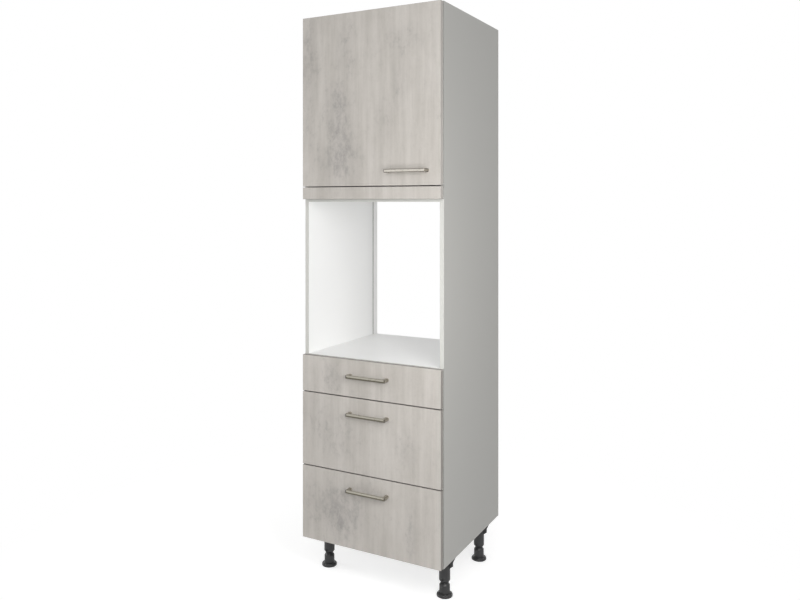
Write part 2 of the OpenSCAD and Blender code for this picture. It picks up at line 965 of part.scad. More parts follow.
module roller(y, z, r) {
    color(roller_colour)
        both_sides()
            difference() {
                rod_x([roller_x - roller_w / 2, y, z], r, roller_w);
                rod_x([roller_x - roller_w / 2 - past, y, z], axle_r + play, roller_w + 2 * past);
            }
}

module front_rollers(i) {
    roller(front_roller_y, front_roller_z(i), front_roller_d / 2);
}

module rear_rollers(i) {
    roller(rear_roller_y, rear_roller_z(i), rear_roller_d / 2);
}

// The bent sheet of a drawer side, seen from the front, on the right
module side_profile(i) {
    low = low_z(i);
    high = low + side_h(i);
    track = track_z(i);
    lip_x = roller_x + roller_w / 2 + lip_room;
    translate([web_x - sheet_t, low])
        square([sheet_t, high - low]);
    translate([web_x - sheet_t - flange_in, low])
        square([flange_in + sheet_t, sheet_t]);
    translate([web_x - sheet_t, track])
        square([lip_x - web_x + 2 * sheet_t, sheet_t]);
    translate([lip_x, track - lip_h])
        square([sheet_t, lip_h + sheet_t]);
    translate([bar_half + bead_r, high - bead_r])
        circle(r = bead_r);
}

module drawer_sides(i) {
    color(white_colour)
        both_sides() {
            translate([0, side_end_y, 0])
                rotate([90, 0, 0])
                    linear_extrude(height = side_len)
                        side_profile(i);
            rod_x([web_x - sheet_t, rear_roller_y, rear_roller_z(i)],
                  axle_r, roller_x + roller_w / 2 + loose - web_x + sheet_t);
        }
}

module drawer_bottom(i) {
    color(white_colour)
        block([-bar_half + loose, seat_y, low_z(i) + sheet_t],
              [bar_half - loose, side_end_y, drawer_floor_z(i)]);
}

module drawer_back(i) {
    top = i == TOP ? low_z(i) + side_h(i) - bead_r : low_z(i) + gallery_z + gallery_d;
    color(white_colour)
        block([-bar_half + loose, back_y, drawer_floor_z(i)],
              [bar_half - loose, side_end_y, top]);
}

front_bracket_w = 10;
front_bracket_t = 1.5;
front_bracket_len = 40;
front_bracket_up = 2;
front_bracket_down = 8;

// Angles that hold the drawer front to the drawer sides
module drawer_brackets(i) {
    low = drawer_floor_z(i) + front_bracket_up;
    high = low_z(i) + side_h(i) - front_bracket_down;
    color(steel_colour)
        both_sides() {
            block([bar_half - front_bracket_w, seat_y, low],
                  [bar_half, seat_y + front_bracket_t, high]);
            block([bar_half - front_bracket_t, seat_y, low],
                  [bar_half, seat_y + front_bracket_len, high]);
        }
}

module drawer_front(i) {
    color(front_colour)
        difference() {
            board([-front_w / 2, front_y, drawer_z(i)],
                  [front_w / 2, seat_y, drawer_z(i) + drawer_h(i)], front_edge_r);
            handle_holes_cut(0, drawer_handle_z(i));
        }
}

function drawer_handle_z(i) = drawer_z(i) + drawer_h(i) - drawer_handle_drop;

module drawer_handle(i) {
    handle(0, drawer_handle_z(i));
}

module drawer_handle_screws(i) {
    handle_screws(0, drawer_handle_z(i));
}

gallery_in = 8;
gallery_x = bar_half - gallery_in;
gallery_cap_r = 7;
gallery_cap_len = 12;

module gallery_rails(i) {
    z = low_z(i) + gallery_z;
    color(white_colour)
        both_sides() {
            rod_y([gallery_x, seat_y, z], gallery_d / 2, back_y - seat_y);
            rod_y([gallery_x, seat_y, z], gallery_cap_r, gallery_cap_len);
            rod_y([gallery_x, back_y - gallery_cap_len, z], gallery_cap_r, gallery_cap_len);
        }
}

side_panel_left();
side_panel_right();
bottom_panel();
top_panel();
niche_floor();
niche_ceiling();
lower_back_panel();
upper_back_panel();
adjustable_shelf();
shelf_pins();
filler_strip();
filler_strip_brackets();
connector_cams();
connector_bolts();
wooden_dowels();
front_bumpers();
leg_sockets();
cabinet_runners();
hinge_plates();
hinge_arms();
hinge_links();
door_panel();
door_handle();
door_handle_screws();
hinge_cups();
foot(-1, leg_ys[0]);  // foot_front_left
foot(1, leg_ys[0]);  // foot_front_right
foot(-1, leg_ys[1]);  // foot_rear_left
foot(1, leg_ys[1]);  // foot_rear_right
drawer_front(TOP);  // top_drawer_front
drawer_handle(TOP);  // top_drawer_handle
drawer_handle_screws(TOP);  // top_drawer_handle_screws
drawer_sides(TOP);  // top_drawer_sides
drawer_bottom(TOP);  // top_drawer_bottom
drawer_back(TOP);  // top_drawer_back
drawer_brackets(TOP);  // top_drawer_brackets
front_rollers(TOP);  // top_drawer_front_rollers
rear_rollers(TOP);  // top_drawer_rear_rollers
drawer_front(MIDDLE);  // middle_drawer_front
drawer_handle(MIDDLE);  // middle_drawer_handle
drawer_handle_screws(MIDDLE);  // middle_drawer_handle_screws
drawer_sides(MIDDLE);  // middle_drawer_sides
drawer_bottom(MIDDLE);  // middle_drawer_bottom
drawer_back(MIDDLE);  // middle_drawer_back
drawer_brackets(MIDDLE);  // middle_drawer_brackets
front_rollers(MIDDLE);  // middle_drawer_front_rollers
rear_rollers(MIDDLE);  // middle_drawer_rear_rollers
gallery_rails(MIDDLE);  // middle_drawer_gallery_rails
drawer_front(BOTTOM);  // bottom_drawer_front
drawer_handle(BOTTOM);  // bottom_drawer_handle
drawer_handle_screws(BOTTOM);  // bottom_drawer_handle_screws
drawer_sides(BOTTOM);  // bottom_drawer_sides
drawer_bottom(BOTTOM);  // bottom_drawer_bottom
drawer_back(BOTTOM);  // bottom_drawer_back
drawer_brackets(BOTTOM);  // bottom_drawer_brackets
front_rollers(BOTTOM);  // bottom_drawer_front_rollers
rear_rollers(BOTTOM);  // bottom_drawer_rear_rollers
gallery_rails(BOTTOM);  // bottom_drawer_gallery_rails
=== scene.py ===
"""Looks of the tall oven housing unit, built around its CAD frame. All lengths are in metres."""

import json
import math

import bmesh
import bpy
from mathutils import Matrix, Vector


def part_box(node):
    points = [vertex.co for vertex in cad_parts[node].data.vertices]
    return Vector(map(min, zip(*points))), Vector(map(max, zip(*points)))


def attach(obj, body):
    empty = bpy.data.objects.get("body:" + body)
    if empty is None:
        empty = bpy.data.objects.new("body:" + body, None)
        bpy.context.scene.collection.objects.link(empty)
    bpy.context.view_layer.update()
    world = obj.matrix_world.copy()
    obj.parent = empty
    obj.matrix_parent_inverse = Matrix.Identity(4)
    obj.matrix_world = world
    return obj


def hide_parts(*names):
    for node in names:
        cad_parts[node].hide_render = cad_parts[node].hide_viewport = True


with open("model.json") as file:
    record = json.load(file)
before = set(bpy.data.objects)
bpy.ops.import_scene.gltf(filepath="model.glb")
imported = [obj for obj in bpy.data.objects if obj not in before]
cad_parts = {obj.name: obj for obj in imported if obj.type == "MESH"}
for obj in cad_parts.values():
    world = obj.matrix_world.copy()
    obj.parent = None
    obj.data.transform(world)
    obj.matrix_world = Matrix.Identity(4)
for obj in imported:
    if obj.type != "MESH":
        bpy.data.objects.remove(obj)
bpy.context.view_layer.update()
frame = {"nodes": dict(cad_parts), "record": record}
nodes = frame["nodes"]

# ---- Places, worked out from the frame ----

MM = 0.001
FRONTS = ("door_panel", "filler_strip", "top_drawer_front", "middle_drawer_front", "bottom_drawer_front")
DRAWER_HANDLES = ("top_drawer_handle", "middle_drawer_handle", "bottom_drawer_handle")
side_low, side_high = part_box("side_panel_right")
inner_x = side_low.x
outer_x = side_high.x
edge_y = side_low.y
rear_y = side_high.y
front_low, front_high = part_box("top_drawer_front")
front_y = front_low.y
seat_y = front_high.y
front_half = front_high.x
back_low, back_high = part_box("lower_back_panel")
niche_low_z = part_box("niche_floor")[1].z
niche_high_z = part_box("filler_strip")[0].z
# A board's coloured skin, its edge band, and the groove for the back panels
SKIN = 0.4 * MM
BAND_T = 1.0 * MM
GROOVE_PLAY = 0.6 * MM
GROOVE_DEEP = 9 * MM

# ---- Colours ----


def srgb(red, green, blue):
    """The linear colour of three 0 to 255 screen values."""
    def linear(value):
        value /= 255
        return value / 12.92 if value <= 0.04045 else ((value + 0.055) / 1.055) ** 2.4
    return (linear(red), linear(green), linear(blue), 1.0)


DECOR_LIGHT = srgb(200, 195, 189)
DECOR_MID = srgb(177, 172, 165)
DECOR_DARK = srgb(149, 145, 142)
DECOR_EDGE = srgb(158, 153, 148)
DECOR_EDGE_LIGHT = srgb(172, 167, 162)
# Painted shade: the edge bands of the drawer fronts and of edges that face up
DECOR_EDGE_SHADE = srgb(130, 125, 120)
GREY_SIDE = srgb(167, 166, 162)
GREY_SIDE_PALE = srgb(171, 170, 166)
EDGE_BAND = srgb(203, 203, 198)
# Painted shade: the side panels' front-edge corner strip in the gap behind the fronts
EDGE_CORNER_SHADE = srgb(126, 125, 122)
WHITE = srgb(248, 248, 247)
WHITE_DULL = srgb(239, 239, 238)
GROOVE_GREY = srgb(182, 181, 178)
CHIP_LIGHT = srgb(205, 178, 138)
CHIP_DARK = srgb(142, 106, 70)
BEECH_LIGHT = srgb(214, 178, 136)
BEECH_DARK = srgb(182, 140, 98)
NICKEL_FACE = srgb(222, 217, 208)
NICKEL_LINE = srgb(196, 191, 181)
# Painted reflections: the handles' darker sides and bends
NICKEL_SIDE_REFLECTION = srgb(176, 171, 160)
NICKEL_BEND_REFLECTION = srgb(96, 91, 83)
# Painted shade: the drawers' handles, a darker copy of the nickel
NICKEL_DRAWER_SHADE = srgb(184, 180, 168)
NICKEL_DRAWER_SHADE_LINE = srgb(164, 160, 148)
# Painted shade below the middle of the drawers' handles
NICKEL_LOWER_SHADE = srgb(104, 100, 88)
# Painted shade at the left end of the drawers' handles
NICKEL_END_SHADE = srgb(48, 44, 40)
NICKEL_STEEL = srgb(200, 198, 195)
NICKEL_STEEL_LINE = srgb(178, 176, 173)
ZINC = srgb(178, 180, 182)
ZINC_LINE = srgb(160, 163, 166)
POWDER_WHITE = srgb(232, 232, 230)
POWDER_DULL = srgb(224, 224, 222)
PLASTIC_BLACK = srgb(31, 31, 32)
PLASTIC_BLACK_PALE = srgb(40, 40, 41)
PLASTIC_WHITE = srgb(226, 225, 220)
PLASTIC_WHITE_DULL = srgb(218, 217, 211)
FLOOR_COLOUR = srgb(205, 205, 205)
BACKDROP = (1.0, 1.0, 1.0, 1.0)

# ---- Material building ----

# Most of a noise's values lie between these
NOISE_LOW = 0.3
NOISE_HIGH = 0.7
# Sockets of a mix node that mixes colours
MIX_FACTOR = 0
MIX_A = 6
MIX_B = 7
MIX_RESULT = 2


def put(tree, socket, value):
    """Links a node's output to the socket, or sets a plain value on it."""
    if isinstance(value, bpy.types.NodeSocket):
        tree.links.new(value, socket)
    else:
        socket.default_value = value


def add_node(tree, kind, *numbered, operation=None, **named):
    """A new node with its inputs given in their order or by their names."""
    made = tree.nodes.new(kind)
    if operation:
        made.operation = operation
    for index, value in enumerate(numbered):
        put(tree, made.inputs[index], value)
    for name, value in named.items():
        put(tree, made.inputs[name.replace("_", " ")], value)
    return made


def add_ramp(tree, value, low, high, start=0.0, end=1.0):
    """A smooth step: start where value is at low, end where it is at high."""
    made = add_node(tree, "ShaderNodeMapRange", Value=value, From_Min=low, From_Max=high,
                    To_Min=start, To_Max=end)
    made.interpolation_type = "SMOOTHSTEP"
    return made.outputs[0]


class Paint:
    """A procedural material around one Principled shader."""

    def __init__(self, name, metallic=0.0):
        self.material = bpy.data.materials.new(name)
        self.material.use_nodes = True
        self.tree = self.material.node_tree
        self.shader = self.tree.nodes["Principled BSDF"]
        self.set("Metallic", metallic)
        coordinates = self.tree.nodes.new("ShaderNodeTexCoord")
        self.place = coordinates.outputs["Object"]
        self.x, self.y, self.z = self.node("ShaderNodeSeparateXYZ", self.place).outputs
        facing = self.node("ShaderNodeSeparateXYZ", coordinates.outputs["Normal"])
        self.facing_x, self.facing_y, self.facing_z = facing.outputs

    def set(self, socket, value):
        put(self.tree, self.shader.inputs[socket], value)

    def node(self, kind, *numbered, **named):
        return add_node(self.tree, kind, *numbered, **named)

    def math(self, operation, *values):
        return self.node("ShaderNodeMath", *values, operation=operation).outputs[0]

    def total(self, *values):
        result = values[0]
        for value in values[1:]:
            result = self.math("ADD", result, value)
        return result

    def product(self, *values):
        result = values[0]
        for value in values[1:]:
            result = self.math("MULTIPLY", result, value)
        return result

    def size_of(self, value):
        return self.math("ABSOLUTE", value)

    def either(self, a, b):
        """The larger of two shares."""
        return self.math("MAXIMUM", a, b)

    def other_than(self, share):
        return self.math("SUBTRACT", 1.0, share)

    def capped(self, *shares):
        """The sum of the shares, 1 at most."""
        return self.math("MINIMUM", self.total(*shares), 1.0)

    def ramp(self, value, low, high, start=0.0, end=1.0):
        return add_ramp(self.tree, value, low, high, start, end)

    def spread(self, noise, start=0.0, end=1.0):
        """Spreads a noise's usual range from start to end."""
        return self.ramp(noise, NOISE_LOW, NOISE_HIGH, start, end)

    def band(self, value, low, high, soft=0.1 * MM):
        """1 between low and high, fading to 0 over soft on both sides."""
        return self.product(self.ramp(value, low - soft, low), self.ramp(value, high, high + soft, 1.0, 0.0))

    def mix(self, factor, a, b):
        """Colour a where factor is 0, and b where it is 1."""
        made = self.tree.nodes.new("ShaderNodeMix")
        made.data_type = "RGBA"
        put(self.tree, made.inputs[MIX_FACTOR], factor)
        put(self.tree, made.inputs[MIX_A], a)
        put(self.tree, made.inputs[MIX_B], b)
        return made.outputs[MIX_RESULT]

    def stretched(self, stretch, shift=(0, 0, 0), place=None):
        made = self.node("ShaderNodeMapping", Vector=place or self.place, Scale=stretch, Location=shift)
        return made.outputs[0]

    def noise(self, scale=1.0, detail=3.0, rough=0.55, stretch=(1, 1, 1), shift=(0, 0, 0)):
        made = self.node("ShaderNodeTexNoise", Vector=self.stretched(stretch, shift),
                         Scale=scale, Detail=detail, Roughness=rough)
        return made.outputs[0]

    def bump(self, height, depth):
        """Adds relief of a depth in metres."""
        made = self.node("ShaderNodeBump", Height=height, Distance=depth, Strength=1.0)
        normal = self.shader.inputs["Normal"]
        if normal.is_linked:
            put(self.tree, made.inputs["Normal"], normal.links[0].from_socket)
        self.set("Normal", made.outputs[0])


# ---- Fronts: a concrete-look decor with upright streaks and cloudy patches ----

# Darker clouds of the decor: x, z, half width, half height and strength
CLOUDS = [
    (-0.135, 1.800, 0.080, 0.130, 0.85),
    (-0.120, 1.630, 0.115, 0.120, 0.90),
    (-0.265, 2.040, 0.050, 0.220, 0.60),
    (-0.100, 2.060, 0.045, 0.160, 0.50),
    (-0.270, 1.720, 0.040, 0.120, 0.35),
    (0.150, 2.070, 0.100, 0.060, 0.45),
    (0.125, 1.900, 0.035, 0.120, 0.50),
    (0.060, 1.760, 0.040, 0.120, 0.30),
    (-0.165, 0.795, 0.055, 0.080, 0.70),
    (-0.225, 0.630, 0.090, 0.110, 0.40),
    (-0.110, 0.560, 0.110, 0.100, 0.45),
    (0.165, 0.560, 0.050, 0.070, 0.45),
    (-0.130, 0.280, 0.150, 0.130, 1.00),
    (-0.020, 0.390, 0.090, 0.045, 0.50),
    (0.185, 0.260, 0.035, 0.130, 0.60),
]
# A cloud is full within the first share of its size, and gone at the second
CLOUD_CORE = 0.1
CLOUD_END = 1.35
# How far the clouds' outlines are pulled about, across and along the streaks
CLOUD_RAGGED = (0.13, 0.0, 0.26)

# How far each pattern shifts the tone between the mid and the light colour
TONE = 0.50
STREAK_TONE = 0.32
HAIR_TONE = 0.08
BROAD_TONE = 0.16
MOTTLE_TONE = 0.08
GRIT_TONE = 0.06
LEFT_TONE = 0.22
LEFT_FROM = -0.16
LEFT_TO = -0.30

# Specks gather into blots where the clouds lie
CLOUD_TO_BLOT = 0.22
GRIT_TO_BLOT = 0.12
BLOT_FROM = 0.62
BLOT_TO = 0.96
BLOT_DARK = 0.60
CLOUD_DARK = 0.34
PORE_FROM = 0.66
PORE_TO = 0.76
PORE_DARK = 0.22
BORDER_DARK = 0.7

DECOR_ROUGH = (0.40, 0.50)
BLOT_ROUGH = 0.06
GRIT_DEEP = 0.12 * MM
HAIR_DEEP = 0.1 * MM
# The edge bands turn to painted shade over this height, under the niche's floor
EDGE_TURN = 10 * MM


def decor_clouds(paint):
    """How dark the clouds are at each place, with ragged outlines."""
    warp = paint.node("ShaderNodeTexNoise", Vector=paint.stretched((1, 1, 0.45)), Scale=16.0,
                      Detail=7.0, Roughness=0.68).outputs["Color"]
    centred = paint.node("ShaderNodeVectorMath", warp, (0.5, 0.5, 0.5), operation="SUBTRACT").outputs[0]
    pulled = paint.node("ShaderNodeVectorMath", centred, CLOUD_RAGGED, operation="MULTIPLY").outputs[0]
    place = paint.node("ShaderNodeVectorMath", paint.place, pulled, operation="ADD").outputs[0]
    parts = []
    for x, z, half_w, half_h, strength in CLOUDS:
        local = paint.stretched((1 / half_w, 0, 1 / half_h), (-x / half_w, 0, -z / half_h), place)
        away = paint.node("ShaderNodeVectorMath", local, operation="LENGTH").outputs["Value"]
        parts.append(paint.ramp(away, CLOUD_CORE, CLOUD_END, strength, 0.0))
    return paint.capped(*parts)


def border_of_fronts(paint):
    """1 in a thin line along the outer edges of every front."""
    parts = [paint.ramp(paint.size_of(paint.x), front_half - BAND_T * 1.2, front_half - BAND_T)]
    for front in FRONTS:
        low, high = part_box(front)
        parts.append(paint.band(paint.z, low.z, low.z + BAND_T))
        parts.append(paint.band(paint.z, high.z - BAND_T, high.z))
    return paint.capped(*parts)


def plain_edges(paint, streaks):
    """The fronts' edge bands, with painted shade on the drawers and on edges that face up."""
    plain = paint.mix(paint.ramp(streaks, 0.35, 0.65), DECOR_EDGE, DECOR_EDGE_LIGHT)
    # Painted shade: edge bands on the drawers and edges facing up take the dark colour
    on_drawers = paint.ramp(paint.z, niche_low_z - EDGE_TURN, niche_low_z, 1.0, 0.0)
    upwards = paint.ramp(paint.facing_z, 0.5, 0.9)
    return paint.mix(paint.either(on_drawers, upwards), plain, DECOR_EDGE_SHADE)


def concrete_decor():
    paint = Paint("concrete_decor")
    clouds = decor_clouds(paint)
    streaks = paint.noise(stretch=(22, 22, 1.5), detail=6, rough=0.6)
    hairs = paint.noise(stretch=(80, 80, 6), detail=5, rough=0.65, shift=(3, 0, 1))
    broad = paint.noise(scale=3.1, detail=5, stretch=(1.6, 1, 0.8), shift=(5, 0, 2))
    mottle = paint.noise(scale=38, detail=10, rough=0.74, stretch=(1.1, 1, 0.75))
    grit = paint.noise(scale=170, detail=7, rough=0.74, stretch=(1, 1, 0.7))
    pores = paint.noise(scale=430, rough=0.6)

    tone = paint.total(
        paint.ramp(streaks, 0.32, 0.68, -STREAK_TONE, STREAK_TONE),
        paint.spread(hairs, -HAIR_TONE, HAIR_TONE),
        paint.spread(broad, -BROAD_TONE, BROAD_TONE),
        paint.ramp(mottle, 0.35, 0.65, MOTTLE_TONE, -MOTTLE_TONE),
        paint.spread(grit, GRIT_TONE, -GRIT_TONE),
        paint.ramp(paint.x, LEFT_TO, LEFT_FROM, LEFT_TONE, 0.0),
        TONE,
    )
    light = paint.mix(tone, DECOR_MID, DECOR_LIGHT)
    speckled = paint.total(mottle, paint.product(clouds, CLOUD_TO_BLOT), paint.product(grit, GRIT_TO_BLOT))
    blots = paint.ramp(speckled, BLOT_FROM, BLOT_TO)
    darkness = paint.total(paint.product(blots, BLOT_DARK), paint.product(clouds, CLOUD_DARK))
    face = paint.mix(darkness, light, DECOR_DARK)
    face = paint.mix(paint.ramp(pores, PORE_FROM, PORE_TO, 0.0, PORE_DARK), face, DECOR_DARK)
    face = paint.mix(paint.product(border_of_fronts(paint), BORDER_DARK), face, DECOR_EDGE)

    behind_face = paint.ramp(paint.y, front_y + BAND_T * 0.5, front_y + BAND_T)
    colour = paint.mix(behind_face, face, plain_edges(paint, streaks))
    rear_face = paint.ramp(paint.y, seat_y - SKIN, seat_y - SKIN * 0.5)
    paint.set("Base Color", paint.mix(rear_face, colour, WHITE))
    paint.set("Roughness", paint.total(paint.spread(grit, *DECOR_ROUGH), paint.product(blots, BLOT_ROUGH)))
    paint.bump(grit, GRIT_DEEP)
    paint.bump(hairs, HAIR_DEEP)
    return paint.material


# ---- Boards: white and grey melamine with banded front edges and raw cut edges ----

PEARL_DEEP = 0.05 * MM
GREY_DRIFT = 2.2
GREY_ROUGH = (0.42, 0.52)
WHITE_DRIFT = 3.0
WHITE_ROUGH = (0.36, 0.46)
CORNER_SOFT = 0.1 * MM


def chipboard_colour(paint):
    """Pressed wood chips, as on a raw cut edge."""
    chips = paint.node("ShaderNodeTexVoronoi", Vector=paint.stretched((1, 1, 1.6)), Scale=420.0)
    tone = paint.noise(scale=260, detail=5, rough=0.7)
    shade = paint.total(paint.product(chips.outputs["Distance"], 0.55), paint.product(tone, 0.5))
    return paint.mix(paint.ramp(shade, 0.25, 0.75), CHIP_DARK, CHIP_LIGHT)


def melamine(paint, colour, other, drift_scale, rough):
    """A melamine face's colour. Gives it the fine pearl structure and its gloss."""
    pearl = paint.noise(scale=620, detail=2, rough=0.5)
    paint.bump(pearl, PEARL_DEEP)
    paint.set("Roughness", paint.spread(pearl, *rough))
    drift = paint.noise(scale=drift_scale)
    return paint.mix(paint.total(paint.product(drift, 0.5), paint.product(pearl, 0.5)), colour, other)


def side_material():
    """Grey outside, white inside, pale front edge band, raw ends and rear edge, and a corner strip of the
    band painted dark as shade beside the fronts.
    """
    paint = Paint("grey_side")
    away = paint.size_of(paint.x)
    grey = melamine(paint, GREY_SIDE, GREY_SIDE_PALE, GREY_DRIFT, GREY_ROUGH)
    groove = paint.product(paint.band(paint.y, back_low.y - GROOVE_PLAY, back_high.y + GROOVE_PLAY),
                           paint.ramp(away, inner_x + GROOVE_DEEP, inner_x + GROOVE_DEEP + SKIN, 1.0, 0.0))
    core = paint.mix(groove, chipboard_colour(paint), GROOVE_GREY)
    colour = paint.mix(paint.ramp(away, inner_x + SKIN * 0.5, inner_x + SKIN), WHITE, core)
    colour = paint.mix(paint.ramp(away, outer_x - SKIN, outer_x - SKIN * 0.5), colour, grey)
    # The band covers the front edge, and its 1 mm lip on the outer face shows beside the open niche only.
    # Beyond the fronts' width, the band's outer corner strip is painted dark as shade in the gap behind the
    # fronts, except beside the niche.
    niche = paint.band(paint.z, niche_low_z, niche_high_z)
    beside = paint.product(paint.ramp(paint.y, edge_y + BAND_T, edge_y + BAND_T * 1.2, 1.0, 0.0), niche)
    band = paint.either(beside, paint.ramp(paint.y, edge_y + SKIN * 0.5, edge_y + SKIN, 1.0, 0.0))
    corner = paint.product(paint.ramp(away, front_half - CORNER_SOFT, front_half + CORNER_SOFT),
                           paint.other_than(niche))
    paint.set("Base Color", paint.mix(band, colour, paint.mix(corner, EDGE_BAND, EDGE_CORNER_SHADE)))
    return paint.material


def board_material():
    """White melamine; the band in front is pale and the rear edge is raw."""
    paint = Paint("white_board")
    white = melamine(paint, WHITE, WHITE_DULL, WHITE_DRIFT, WHITE_ROUGH)
    colour = paint.mix(paint.ramp(paint.y, rear_y - SKIN, rear_y - SKIN * 0.5), white,
                       chipboard_colour(paint))
    colour = paint.mix(paint.ramp(paint.y, edge_y + SKIN * 0.5, edge_y + SKIN), EDGE_BAND, colour)
    paint.set("Base Color", colour)
    return paint.material


# ---- Metals, plastics and wood ----

BRUSH_DEEP = 0.03 * MM
MARKS_ROUGH = 0.03
POWDER_ROUGH = (0.36, 0.46)
PEEL_DEEP = 0.04 * MM
GRAIN_DEEP = 0.06 * MM
FLOW_ROUGH = 0.03
WOOD_ROUGH = (0.5, 0.7)
WOOD_DEEP = 0.1 * MM

# A handle's brush lines and gloss
HANDLE_BRUSH = (60, 1800, 1800)
HANDLE_ROUGH = (0.26, 0.36)
# How far a normal points aside or up on the handles' sides and bends, which are painted darker as
# reflections, and how softly each ends
SIDES_FROM = 0.75
SIDES_TO = 0.97
BENDS = (0.35, 0.80, 0.12)
# The drawers' handles keep a painted highlight on the upper bend, and the strip below their middle is
# painted dark as shade
DRAWERS_END = 100 * MM
UPPER_FROM = 0.1
UPPER_TO = 0.3
UPPER_HIGHLIGHT = 0.75
SHADE_BELOW = 1.5 * MM
SHADE_SOFT = 2 * MM
SHADE_FROM = 0.4
SHADE_TO = 0.7
LEFT_END_SHADE = (-0.80, -0.20, 0.16)


def brush_lines(paint, stretch, low, high):
    """Fine brush lines across the stretched axes, and a gloss that varies from low to high."""
    lines = paint.noise(stretch=stretch, detail=4, rough=0.65)
    marks = paint.noise(scale=60)
    paint.set("Roughness", paint.total(paint.spread(lines, low, high),
                                       paint.spread(marks, -MARKS_ROUGH, MARKS_ROUGH)))
    paint.bump(lines, BRUSH_DEEP)
    return paint.spread(lines)


def brushed_metal(name, light, dark, stretch, low, high):
    paint = Paint(name, metallic=1.0)
    paint.set("Base Color", paint.mix(brush_lines(paint, stretch, low, high), dark, light))
    return paint.material


def lower_halves(paint):
    """1 on the lower half of each drawer's handle, where shade is painted."""
    parts = []
    for name in DRAWER_HANDLES:
        low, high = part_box(name)
        middle = (low.z + high.z) / 2
        parts.append(paint.band(paint.z, low.z, middle - SHADE_BELOW, SHADE_SOFT))
    return paint.total(*parts)


def handle_material():
    """Brushed nickel: pale flat faces, with darker sides and bends as painted reflections. The drawers'
    handles are a darker copy as painted shade, with painted shade along the lower half and at the left end,
    and a painted highlight on the upper bend."""
    paint = Paint("brushed_nickel", metallic=1.0)
    brushed = brush_lines(paint, HANDLE_BRUSH, *HANDLE_ROUGH)
    aside = paint.size_of(paint.facing_x)
    upright = paint.size_of(paint.facing_z)
    # Painted shade: the drawers' handles take a darker copy of the nickel
    drawers = paint.ramp(paint.z, niche_low_z, niche_low_z + DRAWERS_END, 1.0, 0.0)
    flat = paint.mix(drawers, paint.mix(brushed, NICKEL_LINE, NICKEL_FACE),
                     paint.mix(brushed, NICKEL_DRAWER_SHADE_LINE, NICKEL_DRAWER_SHADE))
    # Painted reflections: sides and bends darker; the drawers' upper bends keep a painted highlight
    sides = paint.either(paint.ramp(aside, SIDES_FROM, SIDES_TO), paint.ramp(upright, SIDES_FROM, SIDES_TO))
    colour = paint.mix(sides, flat, NICKEL_SIDE_REFLECTION)
    bends = paint.either(paint.band(aside, *BENDS), paint.band(upright, *BENDS))
    upper = paint.product(drawers, paint.ramp(paint.facing_z, UPPER_FROM, UPPER_TO, 0.0, UPPER_HIGHLIGHT))
    colour = paint.mix(paint.product(bends, paint.other_than(upper)), colour, NICKEL_BEND_REFLECTION)
    # Painted shade along the lower half of the drawers' handles
    dull_and_shade = paint.product(lower_halves(paint), paint.ramp(paint.facing_x, SHADE_FROM, SHADE_TO, 1.0, 0.0))
    colour = paint.mix(dull_and_shade, colour, NICKEL_LOWER_SHADE)
    # Painted shade on the left end of the drawers' handles
    left_end = paint.product(drawers, paint.band(paint.facing_x, *LEFT_END_SHADE))
    paint.set("Base Color", paint.mix(left_end, colour, NICKEL_END_SHADE))
    return paint.material


def powder_coat(name, colour, dull_and_shade):
    paint = Paint(name)
    peel = paint.noise(scale=900, detail=2)
    wear = paint.noise(scale=12, detail=4)
    paint.set("Base Color", paint.mix(paint.spread(wear), colour, dull_and_shade))
    paint.set("Roughness", paint.spread(peel, *POWDER_ROUGH))
    paint.bump(peel, PEEL_DEEP)
    return paint.material


def moulded_plastic(name, colour, other, low, high):
    paint = Paint(name)
    grain = paint.noise(scale=1100, rough=0.6)
    flow = paint.noise(scale=24, detail=4)
    paint.set("Base Color", paint.mix(paint.spread(flow), colour, other))
    paint.set("Roughness", paint.total(paint.spread(grain, low, high),
                                       paint.spread(flow, -FLOW_ROUGH, FLOW_ROUGH)))
    paint.bump(grain, GRAIN_DEEP)
    return paint.material


def beech():
    paint = Paint("beech")
    grain = paint.noise(stretch=(30, 500, 500), detail=5, rough=0.6)
    paint.set("Base Color", paint.mix(paint.spread(grain), BEECH_DARK, BEECH_LIGHT))
    paint.set("Roughness", paint.spread(grain, *WOOD_ROUGH))
    paint.bump(grain, WOOD_DEEP)
    return paint.material


materials = {
    "concrete_decor": concrete_decor(),
    "grey_side": side_material(),
    "white_board": board_material(),
    "brushed_nickel": handle_material(),
    "nickel_steel": brushed_metal("nickel_steel", NICKEL_STEEL, NICKEL_STEEL_LINE, (300, 300, 40),
                                  0.24, 0.36),
    "zinc_steel": brushed_metal("zinc_steel", ZINC, ZINC_LINE, (90, 90, 90), 0.32, 0.44),
    "white_steel": powder_coat("white_steel", POWDER_WHITE, POWDER_DULL),
    "black_plastic": moulded_plastic("black_plastic", PLASTIC_BLACK, PLASTIC_BLACK_PALE, 0.37, 0.47),
    "white_plastic": moulded_plastic("white_plastic", PLASTIC_WHITE, PLASTIC_WHITE_DULL, 0.30, 0.40),
    "beech": beech(),
}


def dress(piece, material):
    """Gives a piece's mesh one material."""
    piece.data.materials.clear()
    piece.data.materials.append(material)


for subpart in frame["record"]["subparts"]:
    dress(nodes[subpart["node"]], materials[subpart["material_slot"]])

# ---- Pieces made in place of the plain frame shapes ----

SHARP_ANGLE = 38
# Two directions across an axis and the one along it
UPWARDS = (Vector((1, 0, 0)), Vector((0, 1, 0)), Vector((0, 0, 1)))
DOWNWARDS = (Vector((0, 1, 0)), Vector((1, 0, 0)), Vector((0, 0, -1)))
REARWARDS = (Vector((0, 0, 1)), Vector((1, 0, 0)), Vector((0, 1, 0)))


